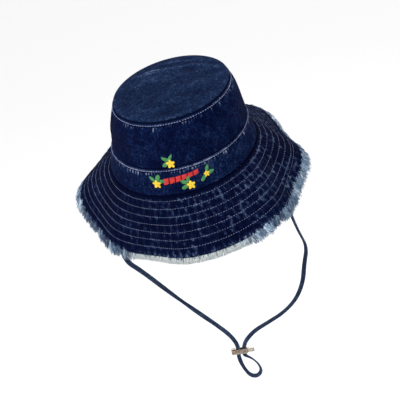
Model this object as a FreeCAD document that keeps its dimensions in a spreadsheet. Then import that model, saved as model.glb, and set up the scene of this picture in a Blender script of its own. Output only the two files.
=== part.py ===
import FreeCAD, Part
import math
import os

# Soft denim bucket hat with a sliding-lock chin strap, in millimetres.
# Frame: origin at the centre of the head opening, in the plane of the crown seam. +Z points up
# through the crown, -Y is the front of the hat and +X the viewer's right when facing the front.
# The strap hangs straight down in the XZ plane. Bearings run anticlockwise from +X, seen from above.

Vector = FreeCAD.Vector
doc = FreeCAD.newDocument("bucket_hat")

# ---------------------------------------------------------------- driving dimensions
SIZES = (
    # crown
    ("head_half_width", 91.0), ("depth_ratio", 1.10), ("crown_taper", 0.262),
    ("crown_lean", 0.09), ("band_height", 30.1), ("crown_height", 79.2), ("tip_edge_rise", 4.0),
    ("tip_dome", 3.5),
    # cloth and gaps
    ("denim", 1.0), ("lining", 0.5), ("interlining", 0.4), ("sweatband_cloth", 0.8),
    ("sweatband_height", 27.0), ("layer_gap", 0.3), ("seam_gap", 0.3),
    # brim
    ("brim_width", 70.5), ("brim_flare", 12.6), ("fringe_length", 11.0),
    ("row_start", 5.5), ("row_pitch", 9.0),
    # thread
    ("thread", 0.35), ("stitch_width", 0.8), ("topstitch_drop", 2.2),
    # strap, its tabs and its lock
    ("strap_width", 6.5), ("strap_cloth", 1.6), ("strap_overhang", 0.4), ("tab_width", 10.0),
    ("tab_cloth", 2.0), ("tab_length", 9.6), ("strap_spacing", 8.0), ("strap_play", 0.5),
    ("window_play", 0.4),
    ("barrel_diameter", 10.2), ("barrel_lip", 1.8), ("plunger_diameter", 6.8), ("running_gap", 0.2),
    ("plunger_travel", 1.8), ("plunger_ring", 1.0), ("plunger_reach", 10.0),
    ("cap_cloth", 1.0), ("cap_recess", 0.4), ("spring_wire", 0.6), ("spring_turns", 2.0),
    ("lock_tilt", 14.0), ("lock_fillet", 0.4),
    # embroidery and label
    ("thread_pile", 0.8), ("motif_gap", 0.4), ("label_width", 30.0), ("label_height", 16.0),
    ("label_base", 5.0), ("label_cloth", 0.4),
)
sheet = doc.addObject("Spreadsheet::Sheet", "Sizes")
for row, (alias, value) in enumerate(SIZES, start=1):
    sheet.set(f"A{row}", alias)
    sheet.set(f"B{row}", str(value))
    sheet.setAlias(f"B{row}", alias)
doc.recompute()


def size(alias):
    """A driving dimension, read from the sheet."""
    return float(getattr(sheet, alias))


# The brim's slope below level is a mean plus waves round the hat: steep at the front, where the
# brim is pulled down, and gentler at the back, with soft folds. Each wave is (count, degrees, phase).
BRIM_MEAN_SLOPE = 45.0
BRIM_WAVES = ((1, 15.7, 88.0), (2, 5.1, -38.0), (3, 2.7, 40.0), (4, 1.4, 162.0),
              (6, 1.8, -83.0), (7, 2.4, 175.0), (8, 2.1, -108.0))
STITCH_ROWS = 7
SECTION_STEP = 6

# Where the lock sits on the strap, and the strap's route from the left tab to the right one.
# The first and last points are at the tabs.
LOCK_CENTRE = (-7.1, -360.3)
LEFT_LEG = ((-88.0, -30.0), (-99.0, -68.0), (-112.0, -103.0), (-118.5, -136.0), (-102.0, -163.0),
            (-80.2, -207.4), (-55.0, -255.0), (-30.0, -299.0), (-17.0, -326.0), (-12.0, -349.8))
LOOP = ((-16.4, -367.2), (-15.5, -387.0), (-12.5, -402.0), (-9.0, -413.0), (-2.0, -420.0),
        (5.5, -418.5), (9.8, -411.0), (9.0, -400.0), (5.5, -389.0), (-0.5, -378.5),
        (-8.6, -369.2))
RIGHT_LEG = ((-4.2, -351.7), (2.5, -340.5), (18.0, -328.5), (41.0, -321.0), (64.5, -312.5),
             (87.0, -295.5), (102.5, -268.0), (110.0, -237.0), (119.5, -208.5), (113.0, -180.0),
             (108.5, -150.0), (104.5, -110.0), (97.6, -72.0), (89.0, -34.0))

# Embroidery on the front: blossoms and leaves as (x, z, radius), and the slanted bar's corners.
BLOSSOMS = ((-19.5, 37.3, 6.5), (-39.4, 15.8, 5.5), (-5.2, 9.6, 6.0), (14.6, 13.4, 5.0))
LEAVES = ((-12.4, 33.6, 2.4), (-33.4, 9.2, 2.2), (2.8, 6.4, 2.6), (21.0, 10.6, 2.6), (17.2, 20.0, 2.2))
BAR = ((-34.5, 13.0), (9.6, 18.4), (10.4, 23.0), (-33.6, 20.2))

subparts = []


def keep(item, label):
    """Names a finished sub-part."""
    item.Label = label
    subparts.append(item)
    return item


def feature(label, shape):
    """A sub-part whose shape is made with Part's own functions."""
    item = doc.addObject("Part::Feature", "Shape_" + label)
    item.Shape = shape
    return keep(item, label)


# ---------------------------------------------------------------- crown
# The soft crown leans a little to +X: its outline moves by crown_lean for each unit of height.
def ellipse(name, height, inset):
    """The crown's outline at a height, moved in by an inset; both are expressions."""
    item = doc.addObject("Part::Ellipse", name)
    half_width = f"(Sizes.head_half_width - Sizes.crown_taper * ({height}))"
    item.MajorRadius = 500
    item.setExpression("MinorRadius", f"{half_width} - ({inset})")
    item.setExpression("MajorRadius", f"{half_width} * Sizes.depth_ratio - ({inset})")
    item.Placement.Rotation = FreeCAD.Rotation(Vector(0, 0, 1), 90)
    item.setExpression("Placement.Base.x", f"Sizes.crown_lean * ({height})")
    item.setExpression("Placement.Base.z", height)
    return item


def cone(name, low, high, inset):
    """A solid cone between two heights."""
    item = doc.addObject("Part::Loft", name)
    item.Sections = [ellipse(name + "_low", low, inset), ellipse(name + "_high", high, inset)]
    item.Solid = True
    item.Ruled = True
    return item


def crown_ring(name, low, high, inset, cloth):
    """A ring of cloth that follows the crown's side."""
    ring = doc.addObject("Part::Cut", name)
    ring.Base = cone(name + "_outer", low, high, inset)
    ring.Tool = cone(name + "_inner", low, high, f"{inset} + {cloth}")
    return ring


def half_space(name, side):
    """A box over the front (-1) or back (+1) half, short of the side seams by half a seam gap."""
    box = doc.addObject("Part::Box", name)
    box.setExpression("Length", "4 * Sizes.head_half_width")
    box.setExpression("Width", "2 * Sizes.head_half_width")
    box.setExpression("Height", "4 * Sizes.crown_height")
    box.setExpression("Placement.Base.x", "-2 * Sizes.head_half_width")
    box.setExpression("Placement.Base.z", "-Sizes.crown_height")
    start = "Sizes.seam_gap / 2" if side > 0 else "-2 * Sizes.head_half_width - Sizes.seam_gap / 2"
    box.setExpression("Placement.Base.y", start)
    return box


def crown_halves(label, low, high, inset, cloth):
    """A crown ring cut in two at the side seams."""
    for side, end in ((-1, "front"), (1, "back")):
        name = f"{label}_{end}"
        half = doc.addObject("Part::Common", "Half_" + name)
        half.Base = crown_ring("Ring_" + name, low, high, inset, cloth)
        half.Tool = half_space("Space_" + name, side)
        keep(half, name)


SEAM = "Sizes.seam_gap"
LINING_INSET = "Sizes.denim + Sizes.layer_gap"
SWEATBAND_INSET = LINING_INSET + " + Sizes.lining + Sizes.layer_gap"

crown_halves("band", SEAM, "Sizes.band_height - Sizes.seam_gap", "0", "Sizes.denim")
crown_halves("crown_panel", "Sizes.band_height", "Sizes.crown_height", "0", "Sizes.denim")
crown_halves("side_lining", SEAM, "Sizes.crown_height", LINING_INSET, "Sizes.lining")
keep(crown_ring("Ring_sweatband", SEAM, "Sizes.sweatband_height", SWEATBAND_INSET,
                "Sizes.sweatband_cloth"), "sweatband")


def stitch_ring(label, middle):
    """A line of topstitching that stands just proud of the crown."""
    low = f"{middle} - Sizes.stitch_width / 2"
    high = f"{middle} + Sizes.stitch_width / 2"
    proud = "-Sizes.layer_gap - Sizes.thread"
    keep(crown_ring("Ring_" + label, low, high, proud, "Sizes.thread"), label)


stitch_ring("tip_topstitch", "(Sizes.crown_height - Sizes.topstitch_drop)")
stitch_ring("band_topstitch", "(Sizes.band_height - Sizes.seam_gap - Sizes.topstitch_drop)")


def half_width_at(height):
    """The crown's outer half-width at a height."""
    return size("head_half_width") - size("crown_taper") * height


def tip(label, depth, cloth):
    """The domed top: a turned profile, a depth below the outside, stretched and leant."""
    rim_height = size("crown_height") + size("seam_gap")
    edge_height = rim_height + size("tip_edge_rise")
    rim, edge = half_width_at(rim_height) - depth, half_width_at(edge_height) - depth
    top = edge_height + size("tip_dome") - depth
    edge_height -= depth
    shoulder, shoulder_height = edge * 0.72, edge_height + 0.55 * size("tip_dome")
    outer = Part.Arc(Vector(edge, 0, edge_height), Vector(shoulder, 0, shoulder_height),
                     Vector(0, 0, top)).toShape()
    inner = outer.translated(Vector(0, 0, -cloth))
    lid = Part.Face(Part.Wire([
        Part.makeLine(Vector(0, 0, top - cloth), Vector(0, 0, top)), outer,
        Part.makeLine(Vector(edge, 0, edge_height), Vector(edge, 0, edge_height - cloth)), inner]))
    wall = Part.Face(Part.makePolygon([
        Vector(rim, 0, rim_height), Vector(edge, 0, edge_height), Vector(edge, 0, edge_height - cloth),
        Vector(edge - cloth, 0, edge_height - cloth), Vector(rim - cloth, 0, rim_height),
        Vector(rim, 0, rim_height)]))
    axis = (Vector(0, 0, 0), Vector(0, 0, 1), 360)
    dome = lid.revolve(*axis).fuse(wall.revolve(*axis)).removeSplitter()
    stretch_and_lean = FreeCAD.Matrix(1, 0, size("crown_lean"), 0, 0, size("depth_ratio"), 0, 0,
                                      0, 0, 1, 0, 0, 0, 0, 1)
    return feature(label, dome.transformGeometry(stretch_and_lean))


tip("crown_tip", 0, size("denim"))
tip("crown_tip_lining", size("denim") + size("layer_gap"), size("lining"))


# ---------------------------------------------------------------- brim
def brim_slope(bearing):
    """The brim's slope below level at a bearing, in degrees."""
    waves = (rise * math.cos(math.radians(count * bearing + phase))
             for count, rise, phase in BRIM_WAVES)
    return BRIM_MEAN_SLOPE + sum(waves)


def brim_point(bearing, run, depth):
    """A point at a run out from the crown seam and a depth below the brim's top side."""
    half_width = size("head_half_width")
    half_depth = half_width * size("depth_ratio")
    turn = math.radians(bearing)
    out = Vector(math.cos(turn) / half_width, math.sin(turn) / half_depth, 0).normalize()
    curl = size("brim_flare") * (run / size("brim_width") - 1) / 2
    slope = math.radians(brim_slope(bearing) + curl)
    level = run * math.cos(slope) - depth * math.sin(slope)
    drop = run * math.sin(slope) + depth * math.cos(slope)
    seam = Vector(half_width * math.cos(turn), half_depth * math.sin(turn), 0)
    return seam + out * level - Vector(0, 0, drop)


def brim_section(bearing, run_in, run_out, top, bottom):
    """The outline of a brim layer, cut across the brim at one bearing."""
    runs = (run_in, (run_in + run_out) / 2, run_out)
    sides = []
    for depth in (top, bottom):
        curve = Part.BSplineCurve()
        curve.interpolate([brim_point(bearing, run, depth) for run in runs])
        sides.append(curve.toShape())
    ends = [Part.makeLine(brim_point(bearing, run, top), brim_point(bearing, run, bottom))
            for run in (run_out, run_in)]
    return Part.Wire([sides[0], ends[0], sides[1], ends[1]])


def brim_ring(label, run_in, run_out, top, cloth):
    """A brim layer all the way round."""
    sections = [brim_section(bearing, run_in, run_out, top, top + cloth)
                for bearing in range(0, 360, SECTION_STEP)]
    return feature(label, Part.makeLoft(sections, True, False, True))


def brim_halves(label, run_in, run_out, top, cloth):
    """A brim layer in a front and a back half, a seam gap apart at the sides."""
    gap = math.degrees(size("seam_gap") / 2 / size("head_half_width"))
    for start, end in ((-180, "front"), (0, "back")):
        bearings = [start + step for step in range(0, 181, SECTION_STEP)]
        bearings[0] += gap
        bearings[-1] -= gap
        sections = [brim_section(bearing, run_in, run_out, top, top + cloth) for bearing in bearings]
        feature(f"{label}_{end}", Part.makeLoft(sections, True, False, False))


interlining_top = size("denim") + size("layer_gap")
under_top = interlining_top + size("interlining") + size("layer_gap")
brim_halves("brim_upper", 0, size("brim_width"), 0, size("denim"))
brim_halves("brim_interlining", size("seam_gap"), size("brim_width"), interlining_top,
            size("interlining"))
brim_halves("brim_under", 0, size("brim_width"), under_top, size("denim"))
fringe_start = size("brim_width") + size("seam_gap")
fringe_end = size("brim_width") + size("fringe_length")
brim_ring("fringe_upper", fringe_start, fringe_end, 0, size("denim"))
brim_ring("fringe_under", fringe_start, fringe_end, under_top, size("denim"))

stitch_top = -size("layer_gap") - size("thread")
for number in range(STITCH_ROWS):
    middle = size("row_start") + number * size("row_pitch")
    brim_ring(f"brim_stitch_row_{number + 1}", middle - size("stitch_width") / 2,
              middle + size("stitch_width") / 2, stitch_top, size("thread"))


# ---------------------------------------------------------------- pieces laid on the crown's side
def plain_cone(low, high, inset):
    """The crown's side as a solid, moved in by an inset."""
    rings = []
    for height in (low, high):
        half_width = half_width_at(height)
        lean = size("crown_lean") * height
        curve = Part.Ellipse(Vector(lean, half_width * size("depth_ratio") - inset, height),
                             Vector(lean + half_width - inset, 0, height), Vector(lean, 0, height))
        rings.append(Part.Wire([curve.toShape()]))
    return Part.makeLoft(rings, True, True)


def laid(prisms, inset, cloth):
    """What a set of prisms cuts out of a thin ring that follows the crown's side."""
    solids = Part.makeCompound(prisms)
    low, high = solids.BoundBox.ZMin - 1, solids.BoundBox.ZMax + 1
    ring = plain_cone(low, high, inset).cut(plain_cone(low, high, inset + cloth))
    return ring.common(solids)


def disc(x, z, radius):
    """A round prism through the front of the crown."""
    return Part.makeCylinder(radius, 2 * size("head_half_width"), Vector(x, 0, z), Vector(0, -1, 0))


def discs(places, margin=0):
    """Round prisms, wider by a margin."""
    return [disc(x, z, radius + margin) for x, z, radius in places]


pile_inset = -size("layer_gap") - size("thread_pile")
corners = [Vector(x, 0, z) for x, z in BAR]
bar = Part.Face(Part.makePolygon(corners + corners[:1])).extrude(
    Vector(0, -2 * size("head_half_width"), 0))
clear_blossoms = Part.makeCompound(discs(BLOSSOMS, size("motif_gap")))
clear_leaves = Part.makeCompound(discs(LEAVES, size("motif_gap")))
feature("embroidery_blossoms", laid(discs(BLOSSOMS), pile_inset, size("thread_pile")))
feature("embroidery_leaves", laid(discs(LEAVES), pile_inset, size("thread_pile")).cut(clear_blossoms))
feature("embroidery_bar", laid([bar], pile_inset, size("thread_pile")).cut(
    clear_blossoms).cut(clear_leaves))

inner_face = (size("denim") + size("lining") + size("sweatband_cloth") + 3 * size("layer_gap"))
label_block = Part.makeBox(size("label_width"), 2 * size("head_half_width"), size("label_height"),
                           Vector(-size("label_width") / 2, 0, size("label_base")))
feature("woven_label", laid([label_block], inner_face, size("label_cloth")))

# The strap swings about the line through its two ends, just under the tabs. Its outer edges reach
# a little past the tabs.
end_radius = size("strap_cloth") / 2
tab_bottom = -size("seam_gap") / 3
swing_height = tab_bottom - size("seam_gap") - end_radius
swing_half_span = (size("head_half_width") - inner_face + size("strap_overhang")
                   - size("strap_width") / 2)
for side, end in ((-1, "left"), (1, "right")):
    start = Vector(min(0, side * 2 * size("head_half_width")), -size("tab_width") / 2, tab_bottom)
    block = Part.makeBox(2 * size("head_half_width"), size("tab_width"), size("tab_length"), start)
    feature(f"strap_tab_{end}", laid([block], inner_face, size("tab_cloth")))


# ---------------------------------------------------------------- strap
def rounded_path(points):
    """Straight runs joined by tangent arcs, each as large as its two runs allow."""
    edges = []
    radii = []
    last = points[0]
    for before, corner, after in zip(points, points[1:], points[2:]):
        back, ahead = before - corner, after - corner
        turn = math.pi - back.getAngle(ahead)
        reach = 0.45 * min(back.Length, ahead.Length)
        radii.append(reach / math.tan(turn / 2))
        first = corner + back.normalize() * reach
        second = corner + ahead.normalize() * reach
        inward = (back + ahead).normalize()
        to_centre = math.hypot(reach, radii[-1])
        middle = corner + inward * (to_centre - radii[-1])
        edges.append(Part.LineSegment(last, first).toShape())
        edges.append(Part.Arc(first, middle, second).toShape())
        last = second
    edges.append(Part.LineSegment(last, points[-1]).toShape())
    return Part.Wire(edges), radii


swing_ends = [Vector(side * swing_half_span, 0, swing_height) for side in (-1, 1)]
hanging = [Vector(x, 0, z) for x, z in LEFT_LEG + LOOP + RIGHT_LEG]
strap_path, strap_radii = rounded_path([swing_ends[0]] + hanging + [swing_ends[1]])
half_strap = Vector(size("strap_width") / 2, end_radius, 0)
start_edge = strap_path.Edges[0]
along = start_edge.tangentAt(start_edge.FirstParameter)
across = along.cross(Vector(0, 1, 0))
outline = [swing_ends[0] + across * (side * half_strap.x) + Vector(0, lift * half_strap.y, 0)
           for side, lift in ((-1, -1), (1, -1), (1, 1), (-1, 1))]
pipe = Part.BRepOffsetAPI.MakePipeShell(strap_path)
pipe.setBiNormalMode(Vector(0, 1, 0))
pipe.add(Part.makePolygon(outline + outline[:1]))
pipe.build()
pipe.makeSolid()
strap_band = pipe.shape()
strap = strap_band
for end in swing_ends:
    rounded = Part.makeCylinder(end_radius, size("strap_width"),
                                end - Vector(half_strap.x, 0, 0), Vector(1, 0, 0))
    strap = strap.fuse(rounded)
feature("chin_strap", strap)
section = size("strap_width") * size("strap_cloth")
print("strap length", round(strap_path.Length, 1), "volume", round(strap_band.Volume, 1),
      "section times length", round(section * strap_path.Length, 1))
print("strap radii", [round(radius, 1) for radius in strap_radii])
print("strap swings about x at", round(swing_half_span, 3), round(swing_height, 3))


# ---------------------------------------------------------------- strap lock
# Every lock piece is modelled along its own Z axis, zero at the lock's centre, and then laid
# along the barrel with its right end low.
def lock_place(item, along=0):
    """Lays a lock piece in its place on the strap, moved along the barrel."""
    turn = FreeCAD.Rotation(Vector(0, 1, 0), 90 + size("lock_tilt"))
    centre = FreeCAD.Placement(Vector(LOCK_CENTRE[0], 0, LOCK_CENTRE[1]), turn)
    item.Placement = centre * FreeCAD.Placement(Vector(0, 0, along), FreeCAD.Rotation())


def cylinder(body, kind, name, diameter, low, high):
    """A PartDesign cylinder between two places along the lock."""
    item = body.newObject(f"PartDesign::{kind}Cylinder", name)
    item.setExpression("Radius", f"({diameter}) / 2")
    item.setExpression("Height", f"({high}) - ({low})")
    item.setExpression("Placement.Base.z", low)
    return item


def window(body, name, low, high):
    """The slot that the strap's two legs pass through, side by side."""
    item = body.newObject("PartDesign::SubtractiveBox", name)
    item.setExpression("Length", "2 * Sizes.barrel_diameter")
    item.setExpression("Width", "Sizes.strap_cloth + 2 * Sizes.window_play")
    item.setExpression("Height", f"({high}) - ({low})")
    item.setExpression("Placement.Base.x", "-Sizes.barrel_diameter")
    item.setExpression("Placement.Base.y", "-Sizes.strap_cloth / 2 - Sizes.window_play")
    item.setExpression("Placement.Base.z", low)
    return item


def rounded_rims(body, base, radius, heights):
    """Rounds the rims of a turned piece that have a radius and lie at given heights."""
    names = []
    for number, edge in enumerate(base.Shape.Edges, start=1):
        at_height = any(abs(edge.CenterOfMass.z - height) < 0.01 for height in heights)
        if at_height and isinstance(edge.Curve, Part.Circle) and abs(edge.Curve.Radius - radius) < 0.01:
            names.append(f"Edge{number}")
    item = body.newObject("PartDesign::Fillet", base.Name + "_rims")
    item.Base = (base, names)
    item.setExpression("Radius", "Sizes.lock_fillet")


# The strap's legs cross the lock a spacing apart, the right one 0.7 mm right of the centre.
RIGHT_LEG_OFFSET = 0.7
leg_reach = "(Sizes.strap_width / 2 + Sizes.strap_play)"
window_low = f"({RIGHT_LEG_OFFSET} - Sizes.strap_spacing - {leg_reach})"
window_high = f"({RIGHT_LEG_OFFSET} + {leg_reach})"
plunger_window_high = f"({window_high} + Sizes.plunger_travel + Sizes.running_gap / 2)"
plunger_low = f"({window_low} - Sizes.plunger_ring)"
spring_solid = "(Sizes.spring_wire * (Sizes.spring_turns + 1))"
cap_high = f"({plunger_low} - Sizes.plunger_travel - {spring_solid})"
cap_low = f"({cap_high} - Sizes.cap_cloth)"
barrel_low = f"({cap_low} - Sizes.cap_recess)"
barrel_high = f"({window_high} + Sizes.barrel_lip)"
plunger_high = f"({barrel_high} + Sizes.plunger_reach)"
bore = "Sizes.plunger_diameter + 2 * Sizes.running_gap"

barrel = doc.addObject("PartDesign::Body", "Barrel")
cylinder(barrel, "Additive", "Barrel_outside", "Sizes.barrel_diameter", barrel_low, barrel_high)
cylinder(barrel, "Subtractive", "Barrel_bore", bore, barrel_low, barrel_high)
barrel_cut = window(barrel, "Barrel_window", window_low, window_high)
doc.recompute()
barrel_ends = [barrel_cut.Shape.BoundBox.ZMin, barrel_cut.Shape.BoundBox.ZMax]
rounded_rims(barrel, barrel_cut, size("barrel_diameter") / 2, barrel_ends)

plunger = doc.addObject("PartDesign::Body", "Plunger")
cylinder(plunger, "Additive", "Plunger_rod", "Sizes.plunger_diameter", plunger_low, plunger_high)
plunger_cut = window(plunger, "Plunger_window", window_low, plunger_window_high)
doc.recompute()
rounded_rims(plunger, plunger_cut, size("plunger_diameter") / 2, [plunger_cut.Shape.BoundBox.ZMax])

end_cap = doc.addObject("PartDesign::Body", "End_cap")
cylinder(end_cap, "Additive", "Cap_disc", f"{bore} - Sizes.running_gap / 2", cap_low, cap_high)
doc.recompute()

# The spring fills the bore between the cap and the plunger, a wire's play from each.
spring_low = end_cap.Shape.BoundBox.ZMax + size("running_gap") + size("spring_wire") / 2
spring_high = plunger.Shape.BoundBox.ZMin - size("running_gap") - size("spring_wire") / 2
coil_radius = (size("plunger_diameter") - size("spring_wire")) / 2 - size("running_gap")
spring_height = spring_high - spring_low
coil = Part.makeHelix(spring_height / size("spring_turns"), spring_height, coil_radius)
wire_circle = Part.Wire([Part.makeCircle(size("spring_wire") / 2, Vector(coil_radius, 0, 0),
                                         Vector(0, 1, 0))])
spring_pipe = Part.BRepOffsetAPI.MakePipeShell(Part.Wire(coil))
spring_pipe.setFrenetMode(True)
spring_pipe.add(wire_circle)
spring_pipe.build()
spring_pipe.makeSolid()
spring = feature("cord_lock_spring", spring_pipe.shape())

keep(barrel, "cord_lock_barrel")
keep(plunger, "cord_lock_plunger")
keep(end_cap, "cord_lock_end_cap")
for item in (barrel, plunger, end_cap):
    lock_place(item)
lock_place(spring, spring_low)

# ---------------------------------------------------------------- checks and files
doc.recompute()
for item in doc.Objects:
    if "Invalid" in item.State or "Error" in item.State:
        raise RuntimeError(f"{item.Label} failed: {item.State}")
for item in subparts:
    if item.Shape.isNull() or not item.Shape.isValid() or item.Shape.Volume <= 0:
        raise RuntimeError(f"{item.Label} has no valid shape")

os.makedirs("parts", exist_ok=True)
for item in subparts:
    item.Shape.exportStep(f"parts/{item.Label}.step")
    box = item.Shape.BoundBox
    print(f"{item.Label}: {len(item.Shape.Solids)} solids, {item.Shape.Volume:.1f} mm3, "
          f"z {box.ZMin:.1f} to {box.ZMax:.1f}")
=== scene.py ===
import itertools
import math

import bmesh
import bpy
import numpy as np
from mathutils import Matrix, Vector


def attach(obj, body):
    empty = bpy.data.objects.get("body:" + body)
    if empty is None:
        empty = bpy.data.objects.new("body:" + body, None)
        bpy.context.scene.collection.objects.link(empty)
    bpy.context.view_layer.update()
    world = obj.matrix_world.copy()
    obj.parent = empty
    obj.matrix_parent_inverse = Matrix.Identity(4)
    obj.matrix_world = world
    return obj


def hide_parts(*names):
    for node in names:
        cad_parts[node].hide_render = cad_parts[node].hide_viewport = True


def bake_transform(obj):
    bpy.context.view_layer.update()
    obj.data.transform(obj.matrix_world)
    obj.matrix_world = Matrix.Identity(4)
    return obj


# Denim bucket hat with a hanging chin strap. Lengths are in metres. +Z is up out of the crown and
# -Y is the front. Bearings run anticlockwise from +X, in degrees, seen from above.

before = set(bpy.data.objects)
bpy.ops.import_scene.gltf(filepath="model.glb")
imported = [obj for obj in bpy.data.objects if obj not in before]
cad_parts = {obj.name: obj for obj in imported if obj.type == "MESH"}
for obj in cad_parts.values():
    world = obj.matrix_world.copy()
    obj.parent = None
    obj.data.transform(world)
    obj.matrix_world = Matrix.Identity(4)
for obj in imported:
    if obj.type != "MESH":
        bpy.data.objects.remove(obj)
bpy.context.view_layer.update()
random = np.random.default_rng(7)
MM = 0.001

# ---------------------------------------------------------------- sizes shared with the CAD
HALF_WIDTH = 91 * MM
DEPTH_RATIO = 1.10
TAPER = 0.262
CROWN_LEAN = 0.09
BAND_HEIGHT = 30.1 * MM
CROWN_HEIGHT = 79.2 * MM
SEAM_GAP = 0.3 * MM
DENIM = 1.0 * MM
LAYER_GAP = 0.3 * MM
LINING = 0.5 * MM
SWEATBAND = 0.8 * MM
SWEATBAND_HEIGHT = 27 * MM
INTERLINING = 0.4 * MM
BRIM_WIDTH = 70.5 * MM
BRIM_FLARE = 12.6
FRINGE = 11 * MM
BRIM_MEAN_SLOPE = 45.0
BRIM_WAVES = ((1, 15.7, 88.0), (2, 5.1, -38.0), (3, 2.7, 40.0), (4, 1.4, 162.0),
              (6, 1.8, -83.0), (7, 2.4, 175.0), (8, 2.1, -108.0))
ROW_START = 5.5 * MM
ROW_PITCH = 9.0 * MM
STITCH_ROWS = 7
BROAD = 85 * MM    # a mean radius that turns bearings into lengths round the crown


# ---------------------------------------------------------------- noise
SHUFFLE = random.permutation(1024)
LEVELS = random.uniform(0, 1, 1024)


def hashed(cells, seed):
    """A number from 0 to 1 for each whole-number cell."""
    mixed = np.full(cells.shape[:-1], seed * 37 % 1024)
    for axis in range(cells.shape[-1]):
        mixed = SHUFFLE[(mixed + cells[..., axis].astype(int)) % 1024]
    return LEVELS[mixed]


def noise(spots, seed):
    """Smooth noise from 0 to 1 with one bump for each unit cell; spots has 1 to 3 columns."""
    cells = np.floor(spots)
    part = spots - cells
    part = part * part * (3 - 2 * part)
    total = np.zeros(spots.shape[:-1])
    for corner in itertools.product((0, 1), repeat=spots.shape[-1]):
        weight = np.ones(spots.shape[:-1])
        for axis, side in enumerate(corner):
            weight = weight * (part[..., axis] if side else 1 - part[..., axis])
        total += weight * hashed(cells + np.array(corner), seed)
    return total


def rough(spots, seed, octaves=3):
    """Layered noise from about -1 to 1."""
    total = sum(noise(spots * 2 ** k, seed + k) / 2 ** k for k in range(octaves))
    return total / sum(1 / 2 ** k for k in range(octaves)) * 2 - 1


def places(*pairs):
    """The columns that noise reads: pairs of a length and the size in mm of one bump on it."""
    return columns(*(way / (size * MM) for way, size in pairs))


def ramp(value, low, high):
    """0 below low, 1 above high, smooth between."""
    share = np.clip((value - low) / (high - low), 0, 1)
    return share * share * (3 - 2 * share)


def fade(value, low, high):
    """1 below low, 0 above high, smooth between."""
    return ramp(-value, -high, -low)


def hump(value, middle, width):
    """A soft bump of height 1."""
    return np.exp(-((value - middle) / width) ** 2)


def painted_left_shade(bearing):
    """Mask for painted shade: 1 on the hat's left side, which is made darker, and 0 from its front
    to its back.
    """
    return fade(np.abs(np.abs(bearing) - 180), 30, 80)


def columns(*parts):
    """Stacks coordinate arrays of one shape as the columns that noise reads."""
    return np.stack(np.broadcast_arrays(*parts), axis=-1)


# ---------------------------------------------------------------- meshes
def make_mesh(name, points, quads, values=None):
    """A smooth mesh object from numpy points and quads, with point attributes."""
    mesh = bpy.data.meshes.new(name)
    mesh.vertices.add(len(points))
    mesh.vertices.foreach_set("co", np.asarray(points, np.float32).ravel())
    mesh.loops.add(quads.size)
    mesh.loops.foreach_set("vertex_index", quads.astype(np.int32).ravel())
    mesh.polygons.add(len(quads))
    mesh.polygons.foreach_set("loop_start", np.arange(0, quads.size, 4, dtype=np.int32))
    mesh.polygons.foreach_set("use_smooth", np.ones(len(quads), bool))
    mesh.update(calc_edges=True)
    for label, data in (values or {}).items():
        kind = "FLOAT_VECTOR" if data.ndim == 2 else "FLOAT"
        attribute = mesh.attributes.new(label, kind, "POINT")
        field = "vector" if data.ndim == 2 else "value"
        attribute.data.foreach_set(field, np.asarray(data, np.float32).ravel())
    mesh.validate()
    item = bpy.data.objects.new(name, mesh)
    bpy.context.scene.collection.objects.link(item)
    return item


HALVES = ((-180, "front"), (0, "back"))    # each half's first bearing


def from_side_seams(turn, start, radius):
    """The distance to the nearer side seam of a half that starts at a bearing."""
    return np.minimum(turn - start, start + 180 - turn) * math.radians(1) * radius


def shell(name, face, back, cloth, wear_and_shade, closed=False):
    """A sheet of cloth with two sides and finished edges.

    face and back are grids of points (rows, columns, 3); cloth gives each point's place on the
    flat cloth and the last grid how worn it is, lowered where shade is painted in. A closed
    sheet joins its last column to its first.
    """
    rows, cols = face.shape[:2]
    index = np.arange(rows * cols).reshape(rows, cols)
    if closed:
        index = np.concatenate([index, index[:, :1]], axis=1)
    corners = [index[:-1, :-1], index[:-1, 1:], index[1:, 1:], index[1:, :-1]]
    front = np.stack(corners, axis=-1).reshape(-1, 4)
    under = front[:, ::-1] + rows * cols
    quads = [front, under]
    borders = [index[0], index[-1][::-1]]
    if not closed:
        borders += [index[::-1, 0], index[:, -1]]
    for border in borders:
        here, ahead = border[:-1], border[1:]
        quads.append(np.stack([ahead, here, here + rows * cols, ahead + rows * cols], axis=-1))
    points = np.concatenate([face.reshape(-1, 3), back.reshape(-1, 3)])
    values = {"cloth": np.tile(cloth.reshape(-1, 3), (2, 1)),
              "wear_and_shade": np.concatenate([wear_and_shade.ravel(), wear_and_shade.ravel() * 0.4 + 0.1])}
    return make_mesh(name, points, np.concatenate(quads), values)


def unit(vectors):
    """Vectors scaled to length 1."""
    return vectors / np.maximum(np.linalg.norm(vectors, axis=-1, keepdims=True), 1e-12)


def tube_quads(index):
    """Quads over closed tubes, ends included; index holds point numbers (n, steps, sides)."""
    ahead = np.roll(index, -1, axis=2)
    quads = [np.stack([index[:, :-1], ahead[:, :-1], ahead[:, 1:], index[:, 1:]], axis=-1)]
    for end, turned in ((0, 1), (-1, -1)):
        for first in range(1, index.shape[2] - 2, 2):
            corners = [0, first, first + 1, first + 2][::-turned]
            quads.append(index[:, end][:, corners])
    return np.concatenate([part.reshape(-1, 4) for part in quads])


def threads(name, paths, radii, ups, sides=6, flat=1.0, values=None):
    """Many closed threads in one piece: paths (n, m, 3), radii (n, m) or (m,), ups (n, 3)."""
    count, steps = paths.shape[:2]
    radii = np.broadcast_to(radii, (count, steps))
    ups = np.broadcast_to(ups, (count, 3))[:, None]
    along = unit(np.gradient(paths, axis=1))
    side = unit(np.cross(along, ups))
    top = np.cross(side, along)
    turn = np.arange(sides) * 2 * math.pi / sides
    ring = (side[:, :, None] * np.cos(turn)[:, None]
            + top[:, :, None] * np.sin(turn)[:, None] * flat)
    points = paths[:, :, None] + ring * radii[:, :, None, None]
    index = np.arange(count * steps * sides).reshape(count, steps, sides)
    spread = {label: np.repeat(np.broadcast_to(data, (count,)), steps * sides)
              for label, data in (values or {}).items()}
    return make_mesh(name, points.reshape(-1, 3), tube_quads(index), spread)


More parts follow.
